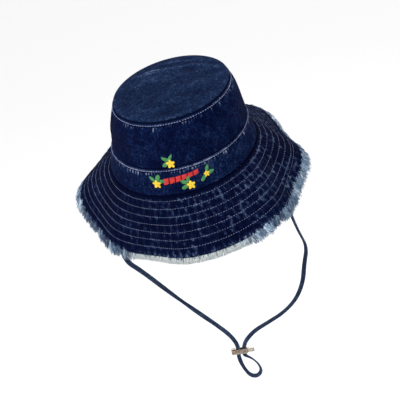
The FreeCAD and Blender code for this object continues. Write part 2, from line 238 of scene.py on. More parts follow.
def finish_piece(item, material, node):
    """Gives a piece of the hat its material, hangs it on the hat, and hides the CAD node that it
    stands for.
    """
    item.data.materials.append(material)
    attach(item, "hat")
    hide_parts(node)


# ---------------------------------------------------------------- materials
class Nodes:
    """Short calls for building a shader tree."""

    def __init__(self, name):
        self.material = bpy.data.materials.new(name)
        self.material.use_nodes = True
        self.tree = self.material.node_tree
        self.shader = self.tree.nodes["Principled BSDF"]

    def add(self, kind, inputs=None, **settings):
        """A node with settings and inputs; an input is a value or another node's socket."""
        node = self.tree.nodes.new("ShaderNode" + kind)
        for key, value in settings.items():
            setattr(node, key, value)
        for key, value in (inputs or {}).items():
            self.put(node.inputs[key], value)
        return node

    def put(self, socket, value):
        """Sets a socket to a value, or links another socket to it."""
        if isinstance(value, bpy.types.NodeSocket):
            self.tree.links.new(value, socket)
        else:
            socket.default_value = value

    def math(self, operation, first, second=0.0, clamp=False):
        """The result of a Math node."""
        node = self.add("Math", {0: first, 1: second}, operation=operation, use_clamp=clamp)
        return node.outputs[0]

    def plus(self, first, second, clamp=False):
        """The sum of two sockets or values."""
        return self.math("ADD", first, second, clamp)

    def times(self, first, second):
        """The product of two sockets or values."""
        return self.math("MULTIPLY", first, second)

    def about_zero(self, value):
        """A pattern from 0 to 1, moved to run from -0.5 to 0.5."""
        return self.math("SUBTRACT", value, 0.5)

    def attribute(self, name, output="Fac"):
        """A point attribute."""
        return self.add("Attribute", attribute_name=name).outputs[output]

    def noise(self, scale, detail=3.0, vector=None, roughness=0.55):
        """Noise of a scale in cells for each metre, from 0 to 1."""
        where = vector or self.add("TexCoord").outputs["Object"]
        inputs = {"Vector": where, "Scale": scale, "Detail": detail, "Roughness": roughness}
        return self.add("TexNoise", inputs).outputs["Fac"]

    def colours(self, value, stops):
        """A colour ramp: stops are (place, (red, green, blue))."""
        node = self.add("ValToRGB", {"Fac": value})
        band = node.color_ramp
        while len(band.elements) < len(stops):
            band.elements.new(0.5)
        for element, (place, colour) in zip(band.elements, stops):
            element.position = place
            element.color = (*colour, 1)
        return node.outputs["Color"]

    def bump(self, height, distance, strength=1.0):
        """Surface relief on the shader."""
        inputs = {"Height": height, "Distance": distance, "Strength": strength}
        self.put(self.shader.inputs["Normal"], self.add("Bump", inputs).outputs["Normal"])

    def set(self, **values):
        """Shader sockets, with _ for a space in the name."""
        for key, value in values.items():
            self.put(self.shader.inputs[key.replace("_", " ")], value)
        return self.material


TWILL = 0.9 * MM


def denim(name, stops, fleck=0.16, lift=0.0):
    """Washed twill: paler where worn and darker where shade is painted in, with a diagonal weave
    and pale weft flecks.
    """
    n = Nodes(name)
    cloth = n.attribute("cloth", "Vector")
    split = n.add("SeparateXYZ", {0: cloth})
    slant = n.plus(split.outputs[0], split.outputs[1])
    wave = n.math("SINE", n.times(slant, 2 * math.pi / TWILL))
    cross = n.math("SUBTRACT", split.outputs[0], split.outputs[1])
    yarn = n.math("SINE", n.times(cross, 2 * math.pi / (TWILL * 0.62)))
    speck = n.noise(1300, 2.0)
    grain = n.noise(430, 4.0, roughness=0.7)
    mottle = n.noise(170, 3.0)
    cloud = n.noise(45, 3.0)
    # The point value holds fading from wear, lowered where shade is painted in and raised where
    # light is painted in.
    fade_and_shade = n.plus(n.attribute("wear_and_shade"), lift)
    for pattern, share in ((grain, fleck * 8.0), (mottle, fleck * 3.0), (cloud, 0.25),
                           (speck, fleck * 3.0)):
        fade_and_shade = n.plus(fade_and_shade, n.times(n.about_zero(pattern), share))
    fade_and_shade = n.plus(fade_and_shade, n.times(wave, fleck * 0.25), clamp=True)
    relief = n.plus(n.times(wave, 0.5), n.times(yarn, 0.3))
    relief = n.plus(relief, n.times(speck, 1.2))
    n.bump(relief, 0.12 * MM, 0.5)
    n.put(n.shader.inputs["Base Color"], n.colours(fade_and_shade, stops))
    rough_value = n.plus(0.82, n.times(mottle, 0.15))
    return n.set(Roughness=rough_value, Specular_IOR_Level=0.02)


# Faded denim, from unworn and painted-shade dark to white at the threads: (wear lowered by painted
# shade, (red, green, blue)).
NAVY = ((0.0, (0.0006, 0.0016, 0.012)), (0.25, (0.0014, 0.0034, 0.020)),
        (0.45, (0.0052, 0.0105, 0.037)), (0.65, (0.018, 0.031, 0.070)),
        (0.85, (0.048, 0.069, 0.120)), (1.0, (0.16, 0.18, 0.25)))
CROWN_BLUE = ((0.0, (0.0006, 0.0018, 0.014)), (0.25, (0.0012, 0.0038, 0.024)),
              (0.45, (0.0032, 0.0100, 0.044)), (0.65, (0.012, 0.024, 0.066)),
              (0.85, (0.045, 0.060, 0.112)), (1.0, (0.16, 0.18, 0.25)))
TIP_BLUE = ((0.0, (0.0014, 0.0040, 0.019)), (0.28, (0.0042, 0.0115, 0.038)),
            (0.48, (0.0085, 0.0195, 0.056)), (0.70, (0.024, 0.040, 0.088)),
            (1.0, (0.12, 0.15, 0.22)))
STRAP_BLUE = ((0.0, (0.004, 0.008, 0.024)), (0.35, (0.014, 0.025, 0.055)),
              (0.7, (0.040, 0.058, 0.105)), (1.0, (0.14, 0.17, 0.25)))


def cotton(name, colour, shade, pitch=0.6 * MM):
    """Plain woven cotton in two shades."""
    n = Nodes(name)
    split = n.add("SeparateXYZ", {0: n.attribute("cloth", "Vector")})
    waves = [n.math("SINE", n.times(split.outputs[axis], 2 * math.pi / pitch))
             for axis in (0, 1)]
    weave = n.times(*waves)
    mottle = n.noise(220, 3.0)
    value = n.plus(n.times(weave, 0.18), mottle, clamp=True)
    n.bump(weave, 0.1 * MM, 0.5)
    n.put(n.shader.inputs["Base Color"], n.colours(value, ((0.25, shade), (0.7, colour))))
    return n.set(Roughness=0.88, Specular_IOR_Level=0.15, Sheen_Weight=0.08, Sheen_Roughness=0.5)


def thread_material(name, colour, shade, gloss=0.55, twist=0.5 * MM):
    """Sewing or embroidery thread: each thread has its own tone, with a fine twist."""
    n = Nodes(name)
    place = n.add("TexCoord").outputs["Object"]
    strands = n.add("TexNoise", {"Vector": place, "Scale": 1 / twist, "Detail": 2.0})
    value = n.plus(n.attribute("tone"), n.times(strands.outputs["Fac"], 0.4))
    n.bump(strands.outputs["Fac"], 0.08 * MM, 0.5)
    n.put(n.shader.inputs["Base Color"], n.colours(value, ((0.15, shade), (0.95, colour))))
    return n.set(Roughness=gloss, Specular_IOR_Level=0.25, Sheen_Weight=0.1, Sheen_Roughness=0.4)


def metal(name, colour, worn, roughness):
    """Plated metal with fine scratches and worn patches."""
    n = Nodes(name)
    place = n.add("TexCoord").outputs["Object"]
    stretch = n.add("Mapping", {"Vector": place, "Scale": (200, 2500, 2500)}).outputs[0]
    scratch = n.add("TexNoise", {"Vector": stretch, "Scale": 1.0, "Detail": 4.0}).outputs["Fac"]
    patch = n.noise(350, 3.0)
    n.put(n.shader.inputs["Base Color"], n.colours(patch, ((0.35, colour), (0.72, worn))))
    n.bump(scratch, 0.02 * MM, 0.4)
    gloss = n.plus(roughness, n.times(scratch, 0.18))
    return n.set(Metallic=1.0, Roughness=gloss)


denim_dark = denim("denim_dark", NAVY)
denim_crown = denim("denim_crown", CROWN_BLUE, fleck=0.20)
denim_tip = denim("denim_tip", TIP_BLUE, fleck=0.24)
strap_cloth = denim("strap_denim", STRAP_BLUE, lift=0.1)
lining_cloth = cotton("lining_cotton", (0.56, 0.58, 0.63), (0.42, 0.44, 0.50))
sweat_cloth = cotton("sweatband_twill", (0.030, 0.042, 0.085), (0.014, 0.020, 0.048), 0.8 * MM)
label_cloth = cotton("label_cloth", (0.80, 0.79, 0.74), (0.62, 0.61, 0.57), 0.4 * MM)
tab_cloth = cotton("tab_tape", (0.028, 0.038, 0.075), (0.012, 0.018, 0.042), 0.7 * MM)
stitch_thread = thread_material("topstitch_thread", (0.40, 0.42, 0.58), (0.20, 0.21, 0.33), 0.7)
brim_thread = thread_material("worn_brim_thread", (0.22, 0.25, 0.38), (0.05, 0.07, 0.13), 0.8)
red_thread = thread_material("red_thread", (0.62, 0.030, 0.028), (0.22, 0.008, 0.010))
yellow_thread = thread_material("yellow_thread", (0.85, 0.62, 0.05), (0.55, 0.33, 0.02))
green_thread = thread_material("green_thread", (0.07, 0.30, 0.09), (0.012, 0.08, 0.03))


def fringe_material():
    """Loose yarn ends: blue-grey warp, or bare off-white weft where white is high."""
    n = Nodes("frayed_yarn")
    fibre = n.noise(900, 3.0)
    value = n.plus(n.attribute("tone"), n.times(n.about_zero(fibre), 0.35))
    blue = n.colours(value, ((0.0, (0.025, 0.038, 0.085)), (0.4, (0.13, 0.21, 0.32)),
                             (0.7, (0.34, 0.45, 0.58)), (1.0, (0.68, 0.77, 0.84))))
    pale = n.colours(value, ((0.0, (0.22, 0.25, 0.29)), (0.35, (0.43, 0.47, 0.48)),
                             (1.0, (0.58, 0.61, 0.61))))
    mixed = n.add("Mix", {0: n.attribute("white")}, data_type="RGBA")
    for socket in mixed.inputs:
        if socket.name == "A" and socket.type == "RGBA":
            n.put(socket, blue)
        if socket.name == "B" and socket.type == "RGBA":
            n.put(socket, pale)
    colour = [socket for socket in mixed.outputs if socket.type == "RGBA"][0]
    n.put(n.shader.inputs["Base Color"], colour)
    n.bump(fibre, 0.1 * MM, 0.5)
    return n.set(Roughness=0.9, Specular_IOR_Level=0.15, Sheen_Weight=0.15, Sheen_Roughness=0.5)


fringe_yarn = fringe_material()


# ---------------------------------------------------------------- crown
def half_turn(start, radius, count):
    """Bearings from side seam to side seam of the half that starts at a bearing."""
    gap = math.degrees(SEAM_GAP / 2 / radius)
    return np.linspace(start + gap, start + 180 - gap, count)


def way_round(turn):
    """The way round the crown's side at each bearing, as a length."""
    return np.radians(turn)[None] * BROAD


def side_point(bearing, height, proud):
    """A point on the crown's side, proud of its outer face."""
    turn = np.radians(bearing)
    half_width = HALF_WIDTH - TAPER * height
    x = (half_width + proud) * np.cos(turn) + CROWN_LEAN * height
    y = (half_width * DEPTH_RATIO + proud) * np.sin(turn)
    return columns(x, y, height + 0 * x)


def near_seam(distance, round_way, seed, reach=6 * MM):
    """Puckers that a row of stitches pulls into cloth: relief, and fading where it is rubbed."""
    spots = places((round_way, 3.3), (distance, 11))
    drift = noise(places((round_way, 12)), seed + 3)
    steady = 0.5 + 0.5 * np.sin(2 * math.pi * (round_way / (3.9 * MM) + 1.5 * drift))
    pull = noise(spots, seed) * 0.45 + noise(spots * (2.1, 1), seed + 1) * 0.2 + steady * 0.35
    length = reach * (0.35 + 1.3 * noise(places((round_way, 4.1)), seed + 2))
    away = np.abs(distance)
    height = (pull - 0.5) * 1.3 * MM * np.exp(-away / reach)
    rubbed = ramp(pull, 0.48, 0.68) * fade(away, 0.2 * length, length)
    return height, rubbed


TOPSTITCH_DROP = 1.5 * MM


def crown_relief(bearing, height, low, high, seed, bulge):
    """Relief and fading of one tier of the crown's side between its bottom and top seams, with
    painted shade along its seams.
    """
    round_way = np.radians(bearing) * BROAD
    below_top = high - height
    above_low = height - low
    slow = rough(places((round_way, 34), (height, 26)), seed, 3)
    fine = rough(places((round_way, 7), (height, 9)), seed + 5, 3)
    proud = slow * 1.5 * MM + fine * 0.25 * MM
    proud *= ramp(np.minimum(below_top, above_low), 0, 8 * MM)
    pucker, streak = near_seam(below_top - TOPSTITCH_DROP, round_way, seed + 9)
    low_pucker, low_streak = near_seam(above_low, round_way, seed + 13, 4 * MM)
    proud += pucker * ramp(below_top, TOPSTITCH_DROP, 2.5 * TOPSTITCH_DROP)
    proud += low_pucker * 0.5
    proud += 0.7 * MM * hump(below_top, 1.3 * MM, 1.2 * MM)
    proud -= 0.25 * MM * hump(below_top, TOPSTITCH_DROP, 0.5 * MM)
    proud -= 0.9 * MM * fade(above_low, 0.3 * MM, 1.6 * MM)
    proud -= 0.6 * MM * fade(below_top, 0, 0.5 * MM)
    share = above_low / (high - low)
    proud += bulge * ramp(share, 0, 0.65) * ramp(1 - share, 0, 0.28)
    wear_and_shade = 0.22 + 0.20 * slow + 0.16 * fine
    wear_and_shade = wear_and_shade + 0.80 * streak * ramp(below_top, 2.6 * MM, 3.4 * MM) + 0.16 * low_streak
    # Painted shade: a dark line just below the worn ridge of the top seam.
    wear_and_shade -= 0.25 * hump(below_top, 2.9 * MM, 0.7 * MM)
    wear_and_shade += 0.50 * hump(below_top, 1.3 * MM, 1.1 * MM)
    # Painted shade: darker along the seam groove at the tier's bottom.
    wear_and_shade -= 0.7 * fade(above_low, 0.5 * MM, 1.7 * MM)
    return proud, wear_and_shade


def painted_right_light(bearing):
    """Painted light: the crown is made paler towards its right side than at its front or left."""
    return 0.5 + 0.5 * np.cos(np.radians(bearing))


TUCK = 1.0 * MM    # how far a tier reaches down behind the one below


def crown_tier(label, low, high, rows, seed, bulge, base_wear, nodes):
    """One tier of the crown's side, in a front and a back half."""
    for start, end in HALVES:
        turn = half_turn(start, BROAD, 420)
        height = np.linspace(low - TUCK, high, rows)[:, None]
        proud, wear_and_shade = crown_relief(turn[None], height, low, high, seed, bulge)
        side_seam = from_side_seams(turn, start, BROAD)
        tuck = fade(side_seam, 0, 2.0 * MM)[None]
        proud -= 0.6 * MM * tuck
        # Painted light: paler towards the crown's right side.
        wear_and_shade = wear_and_shade + base_wear + 0.10 * painted_right_light(turn)[None]
        wear_and_shade += 0.22 * hump(side_seam, 2 * MM, 1 * MM)
        face = side_point(turn[None], height, proud)
        back = side_point(turn[None], height, np.minimum(proud, 0) * 0.3 - DENIM)
        cloth = columns(way_round(turn), height, 0)
        finish_piece(shell(f"{label}_cloth_{end}", face, back, cloth, wear_and_shade),
                     denim_crown, f"{nodes}_{end}")


BAND_TIER = (SEAM_GAP, BAND_HEIGHT - SEAM_GAP)
PANEL_TIER = (BAND_HEIGHT, CROWN_HEIGHT)
BAND_BULGE, PANEL_BULGE = 0.4 * MM, 2.2 * MM
crown_tier("lower_band", *BAND_TIER, 64, 21, BAND_BULGE, 0.08, "band")
crown_tier("upper_band", *PANEL_TIER, 100, 41, PANEL_BULGE, -0.05, "crown_panel")

# The top's outline from its rim, over the rolled shoulder to the middle: distance in from the
# crown's side and height above the seam, in millimetres.
TIP_PROFILE = ((0.9, -0.5), (1.5, 0.6), (1.4, 1.3), (0.8, 2.1), (1.0, 3.1), (2.6, 3.9),
               (6.0, 4.5), (13.0, 5.1), (27.0, 6.2), (43.0, 7.2), (57.0, 7.8), (69.8, 8.0))
# The top's soft creases in millimetres: start, end, height and width.
TIP_CREASES = (((-46, 44), (20, 38), 1.5, 4.0), ((16, 36), (58, 14), 1.2, 5.0),
               ((-16, 60), (52, 40), 1.1, 5.0), ((-56, 10), (-10, 26), 0.8, 5.0),
               ((4, 6), (50, 12), 0.7, 6.0), ((-30, -34), (20, -46), 0.5, 8.0))


def smooth_profile(stops, count):
    """The top's outline as a smooth line of evenly spread points, in metres."""
    rim = HALF_WIDTH - TAPER * CROWN_HEIGHT
    stops = np.array([(rim - inset * MM, CROWN_HEIGHT + rise * MM) for inset, rise in stops])
    step = np.concatenate([[0], np.cumsum(np.linalg.norm(np.diff(stops, axis=0), axis=1))])
    fine = np.linspace(0, step[-1], 2000)
    line = np.stack([np.interp(fine, step, stops[:, axis]) for axis in (0, 1)], axis=-1)
    kernel = np.hanning(61)
    kernel /= kernel.sum()
    padded = np.concatenate([np.repeat(line[:1], 30, 0), line, np.repeat(line[-1:], 30, 0)])
    line = np.stack([np.convolve(padded[:, axis], kernel, "valid") for axis in (0, 1)], axis=-1)
    return line[np.linspace(0, len(line) - 1, count).astype(int)]


def crease(x, y, start, end, rise, width):
    """A soft ridge along a line on the top, in millimetres."""
    start, end = np.array(start, float), np.array(end, float)
    along = end - start
    share = ((x - start[0]) * along[0] + (y - start[1]) * along[1]) / (along @ along)
    share = np.clip(share, 0, 1)
    sway = 3.0 * np.sin(share * 5)
    gap = np.hypot(x - start[0] - share * along[0], y - start[1] - share * along[1] - sway)
    taper = np.sin(math.pi * np.clip(share, 0.02, 0.98)) ** 0.5
    return rise * hump(gap, 0, width) * taper


def tip_surface(turn, profile, depth):
    """The top's grid of points and its fading with painted shade at its seam, a depth below its
    outer face.
    """
    radius, height = profile[:, 0][:, None], profile[:, 1][:, None]
    shrunk = np.maximum(radius - depth, 0.05 * MM)
    x = shrunk * np.cos(turn)[None]
    y = (shrunk + radius * (DEPTH_RATIO - 1)) * np.sin(turn)[None]
    inside = fade(radius, 60 * MM, 68 * MM)
    relief = sum(crease(x / MM, y / MM, *line) for line in TIP_CREASES)
    slow = rough(places((x, 26), (y, 20)), 71, 3)
    relief = relief * 1.5 + slow * 1.1
    z = height + relief * MM * inside - depth
    rim = ramp(radius, 64 * MM, 70 * MM)
    pucker = noise(places((turn[None] * BROAD, 3), (radius, 9)), 77) - 0.5
    z += pucker * 0.5 * MM * rim * fade(radius, 66 * MM, 69 * MM)
    fine = rough(places((x, 8), (y, 7)), 73, 3)
    wear_and_shade = 0.30 + 0.17 * (relief - 0.4) * inside + 0.10 * fine + 0.06 * rim + 0.3 * pucker * rim
    # Painted shade: darker on the rolled rim where it turns down into the seam groove.
    wear_and_shade -= 0.8 * ramp(CROWN_HEIGHT - height, -2.6 * MM, -1.9 * MM)
    return columns(x + CROWN_LEAN * z, y, z), wear_and_shade


def crown_top():
    """The top of the crown and its lining."""
    turn = np.linspace(0, 2 * math.pi, 420, endpoint=False)
    profile = smooth_profile(TIP_PROFILE, 90)
    face, wear_and_shade = tip_surface(turn, profile, 0)
    back, _ = tip_surface(turn, profile, DENIM)
    cloth = columns(face[..., 0], face[..., 1], 0)
    finish_piece(shell("crown_top_cloth", face, back, cloth, wear_and_shade, closed=True),
                 denim_tip, "crown_tip")
    depth = DENIM + LAYER_GAP
    sparse, inner = turn[::3], profile[::3]
    face, wear_and_shade = tip_surface(sparse, inner, depth + LINING)
    back, _ = tip_surface(sparse, inner, depth)
    cloth = columns(face[..., 0], face[..., 1], 0)
    finish_piece(shell("crown_top_lining", back, face, cloth, wear_and_shade, closed=True),
                 lining_cloth, "crown_tip_lining")


crown_top()


def side_lining(start, end):
    """Half of the lining inside the crown's side, with soft creases."""
    turn = half_turn(start, BROAD, 240)
    height = np.linspace(SEAM_GAP, CROWN_HEIGHT, 28)[:, None]
    soft = rough(places((way_round(turn), 22), (height, 30)), 91, 3)
    middle = ramp(np.minimum(height - SEAM_GAP, CROWN_HEIGHT - height), 0, 6 * MM)
    slack = np.abs(soft) * 0.9 * MM * middle
    outer = side_point(turn[None], height, -lining_depth - slack)
    inner = side_point(turn[None], height, -lining_depth - LINING - slack)
    cloth = columns(way_round(turn), height, 0)
    finish_piece(shell(f"side_lining_cloth_{end}", outer, inner, cloth, 0.3 + 0.2 * soft),
                 lining_cloth, f"side_lining_{end}")


lining_depth = DENIM + LAYER_GAP
sweat_depth = lining_depth + LINING + LAYER_GAP
for start, end in HALVES:
    side_lining(start, end)


def sweatband():
    """The tape inside the head opening, set just clear of the lining."""
    turn = np.linspace(0, 360, 480, endpoint=False)
    height = np.linspace(SEAM_GAP, SWEATBAND_HEIGHT, 30)[:, None]
    across = height / SWEATBAND_HEIGHT
    ripple = rough(places((way_round(turn), 16), (height, 20)), 95, 2)
    slack = 0.9 * MM * ramp(across, 0.05, 0.5) + 0.4 * MM * np.abs(ripple) * ramp(across, 0, 0.4)
    groove = 0.25 * MM * (hump(height, 3 * MM, 0.7 * MM) + hump(height, 24.5 * MM, 0.7 * MM))
    outer = side_point(turn[None], height, -sweat_depth - slack)
    inner = side_point(turn[None], height, -sweat_depth - SWEATBAND - slack + groove)
    cloth = columns(way_round(turn), height, 0)
    finish_piece(shell("sweatband_tape", outer, inner, cloth, 0.3 + 0.2 * ripple, closed=True),
                 sweat_cloth, "sweatband")


sweatband()


# ---------------------------------------------------------------- brim
LAST_ROW_SHIFT = 4.5 * MM
PUFF_PITCH = 9.5 * MM    # the spacing of the dark puffs along a channel between two stitch rows
MIDDLE_RUN = 35 * MM     # the run at which the patterns round the brim are measured


def brim_slope(bearing):
    """The brim's slope below level at a bearing, in degrees."""
    return BRIM_MEAN_SLOPE + sum(rise * np.cos(np.radians(count * bearing + phase))
                                 for count, rise, phase in BRIM_WAVES)


def brim_point(bearing, run, depth):
    """A point at a run out from the crown seam and a depth below the brim's top side."""
    turn = np.radians(bearing)
    out_x, out_y = np.cos(turn) / HALF_WIDTH, np.sin(turn) / HALF_WIDTH / DEPTH_RATIO
    out = unit(columns(out_x, out_y, 0 * turn))
    curl = BRIM_FLARE * (run / BRIM_WIDTH - 1) / 2
    slope = np.radians(brim_slope(bearing) + curl)
    level = run * np.cos(slope) - depth * np.sin(slope)
    drop = run * np.sin(slope) + depth * np.cos(slope)
    seam_x = HALF_WIDTH * np.cos(turn)
    seam_y = HALF_WIDTH * DEPTH_RATIO * np.sin(turn)
    return columns(seam_x + out[..., 0] * level, seam_y + out[..., 1] * level, -drop)


def row_run(row, bearing):
    """How far out a row of stitches lies; the last row closes on the one before at the right."""
    run = ROW_START + row * ROW_PITCH
    if row == STITCH_ROWS - 1:
        run = run - LAST_ROW_SHIFT * hump(bearing, -8, 34)
    return run


def wash(run, round_way, steady_way):
    """Dark puffs in a grid between the stitch rows, paler where the quilting is rubbed.

    It gives the distance to the line between two puffs, how pale the cloth is, and a fine grain.
    """
    channel = (run - ROW_START) / ROW_PITCH
    wander = 2.4 * MM * rough(places((steady_way, 16), (run, 11)), 301, 2)
    shift = noise(columns(np.floor(channel) * 3.1, steady_way / (60 * MM)), 303) - 0.5
    column = (steady_way + wander) / PUFF_PITCH + 0.9 * shift
    side = np.abs(column - np.round(column))
    middle = np.abs(channel - np.floor(channel) - 0.5)
    size = 0.66 + 0.60 * noise(columns(np.floor(column) * 3.7, np.floor(channel) * 5.3), 305)
    reach = np.hypot((0.5 - side) / 0.36, middle / 0.40) / size
    warp = 0.45 * rough(places((round_way, 3.4), (run, 3.4)), 307, 2)
    small = noise(places((round_way, 2.2), (run, 2.2)), 309)
    blot = noise(places((round_way, 5.5), (run, 5.0)), 315)
    pale = ramp(reach + warp, 0.45, 1.75) * (0.30 + 0.30 * small + 0.85 * ramp(blot, 0.25, 0.85))
    return side, pale, small


def brim_relief(bearing, run, amount=1.0):
    """Quilting between the stitch rows: relief above the plain brim, and fading with painted shade
    on the left side and along the crown seam.
    """
    bearing, run = np.broadcast_arrays(bearing, run)
    round_way = np.radians(bearing) * (HALF_WIDTH + run * 0.75)
    steady_way = np.radians(bearing) * (HALF_WIDTH + MIDDLE_RUN)
    rows = [row_run(row, bearing) for row in range(STITCH_ROWS)]
    nearest = np.min([np.abs(run - row) for row in rows], axis=0)
    side, pale, small = wash(run, round_way, steady_way)
    broad = noise(places((steady_way, 45), (run, 30)), 311)
    puff = np.clip(nearest / (ROW_PITCH / 2), 0, 1)
    relief = 0.50 * MM * np.sin(puff * math.pi / 2) ** 0.8 - 0.3 * MM * hump(nearest, 0, 0.7 * MM)
    relief = relief + (0.4 - hump(side, 0, 0.25)) * 0.5 * MM * puff + (small - 0.5) * 0.4 * MM
    left = painted_left_shade(bearing)
    # Painted shade: the brim's left side is made darker, in its pale blotches and overall.
    wear_and_shade = 0.09 + (0.47 - 0.10 * left) * pale + 0.12 * (small - 0.5) + 0.22 * (broad - 0.5)
    wear_and_shade -= 0.09 * left
    seam_shade = fade(run, 1.6 * MM, 3.6 * MM)
    wear_and_shade -= 0.6 * seam_shade
    relief *= (1 - 0.6 * seam_shade)
    edge = ramp(run, BRIM_WIDTH - 8 * MM, BRIM_WIDTH - 1 * MM)
    fray = noise(places((steady_way, 0.9), (run, 6)), 317)
    wear_and_shade = wear_and_shade * (1 - 0.45 * edge) + edge * (0.10 + 0.55 * ramp(fray, 0.45, 0.8))
    relief *= (1 - 0.5 * ramp(run, BRIM_WIDTH - 3 * MM, BRIM_WIDTH))
    return relief * amount, wear_and_shade


def brim_layer(label, top, thick, run_in, side, material, nodes, steps):
    """A brim layer in two halves. side is 1 for relief on its top face, -1 on its under face."""
    for start, end in HALVES:
        turn = half_turn(start, HALF_WIDTH, steps[0])[None]
        run = np.linspace(run_in, BRIM_WIDTH, steps[1])[:, None]
        relief, wear_and_shade = brim_relief(turn, run, 1.0 if side > 0 else 0.6)
        seam_away = from_side_seams(turn, start, HALF_WIDTH + run)
        relief -= 0.4 * MM * fade(seam_away, 0, 1.6 * MM)
        wear_and_shade += 0.25 * hump(seam_away, 1.8 * MM, 0.9 * MM)
        if side > 0:
            face, back = brim_point(turn, run, top - relief), brim_point(turn, run, top + thick)
        else:
            face = brim_point(turn, run, top + thick + relief)
            back = brim_point(turn, run, top)
        cloth = columns(np.radians(turn) * (HALF_WIDTH + MIDDLE_RUN), run, 0)
        if side < 0:
            face, cloth, wear_and_shade = face[:, ::-1], cloth[:, ::-1], wear_and_shade[:, ::-1]
            back = back[:, ::-1]
        finish_piece(shell(f"{label}_{end}", face, back, cloth, wear_and_shade),
                     material, f"{nodes}_{end}")


core_top = DENIM + LAYER_GAP
under_top = core_top + INTERLINING + LAYER_GAP
brim_layer("brim_top_cloth", 0, DENIM, 0, 1, denim_dark, "brim_upper", (640, 110))
brim_layer("brim_core", core_top, INTERLINING, SEAM_GAP, 0, lining_cloth,
           "brim_interlining", (120, 16))
brim_layer("brim_under_cloth", under_top, DENIM, 0, -1, denim_dark, "brim_under",
           (340, 64))


# ---------------------------------------------------------------- stitches
STITCH = 1.9 * MM
STITCH_STEP = 3.1 * MM
THREAD_RADIUS = 0.25 * MM


def stitch_line(name, lines, material, node):
    """Dashes of thread along closed lines: each line's place and outward direction by bearing."""
    paths, ups = [], []
    for point, up in lines:
        fine = np.linspace(-180, 180, 4000)
        line = point(fine)
        way = np.concatenate([[0], np.cumsum(np.linalg.norm(np.diff(line, axis=0), axis=1))])
        count = int(way[-1] / STITCH_STEP)
        starts = np.arange(count) * way[-1] / count + random.uniform(-0.12, 0.12, count) * MM
        span = starts[:, None] + np.linspace(0, STITCH, 6)[None]
        turn = np.interp(span, way, fine)
        lift = np.array([-0.25, 0.16, 0.26, 0.26, 0.16, -0.25]) * MM
        normal = up(turn)
        slant = unit(np.cross(np.gradient(point(turn), axis=1), normal))
        drift = random.uniform(-0.12, 0.12, (count, 1, 1)) * MM
        drift = drift * np.linspace(-1, 1, 6)[None, :, None]
        paths.append(point(turn) + normal * lift[None, :, None] + slant * drift)
        ups.append(normal[:, 2])
    paths, ups = np.concatenate(paths), np.concatenate(ups)
    radii = np.array([0.45, 0.9, 1, 1, 0.9, 0.45]) * THREAD_RADIUS
    tone = random.uniform(0.15, 0.85, len(paths))
    item = threads(name, paths, radii, ups, 6, 0.8, {"tone": tone})
    finish_piece(item, material, node)


def surface_up(point_at, bearing, small=0.2):
    """The outward direction of a surface given by point_at(bearing, across)."""
    along = point_at(bearing + small, 0) - point_at(bearing - small, 0)
    across = point_at(bearing, 0.5 * MM) - point_at(bearing, -0.5 * MM)
    return unit(np.cross(along, across))


def brim_stitches(row):
    """One row of topstitching, on the brim's top and showing through underneath."""
    def top(bearing, across):
        run = row_run(row, bearing) + across
        relief, _ = brim_relief(bearing, run)
        return brim_point(bearing, run, -relief)

    def under(bearing, across):
        run = row_run(row, bearing) + across
        relief, _ = brim_relief(bearing, run, 0.6)
        return brim_point(bearing, run, under_top + DENIM + relief)

    lines = [(lambda b: top(b, 0), lambda b: -surface_up(top, b)),
             (lambda b: under(b, 0), lambda b: surface_up(under, b))]
    stitch_line(f"brim_stitches_{row + 1}", lines, brim_thread, f"brim_stitch_row_{row + 1}")


for row in range(STITCH_ROWS):
    brim_stitches(row)


def crown_stitches(name, low, high, seed, bulge, node):
    """The topstitching just below a crown seam."""
    def line(bearing, across):
        height = high - TOPSTITCH_DROP + across
        proud, _ = crown_relief(bearing, height, low, high, seed, bulge)
        return side_point(bearing, height, proud)

    stitch_line(name, [(lambda b: line(b, 0), lambda b: surface_up(line, b))], stitch_thread, node)


crown_stitches("tip_seam_stitches", *PANEL_TIER, 41, PANEL_BULGE, "tip_topstitch")
crown_stitches("band_seam_stitches", *BAND_TIER, 21, BAND_BULGE, "band_topstitch")


# ---------------------------------------------------------------- fringe
BARE_MIDDLE = -106    # the bearing where the edge is stripped bare
LONG_MIDDLE = -12     # the bearing where the fringe is longest
YARN_TAPER = (1, 1, 1, 0.95, 0.85, 0.65, 0.3)    # a yarn's thickness from its root to its tip


def bare(bearing):
    """How far the weft is stripped bare and white: most at the front, left of the middle."""
    return fade(np.abs(bearing - BARE_MIDDLE), 24, 40)


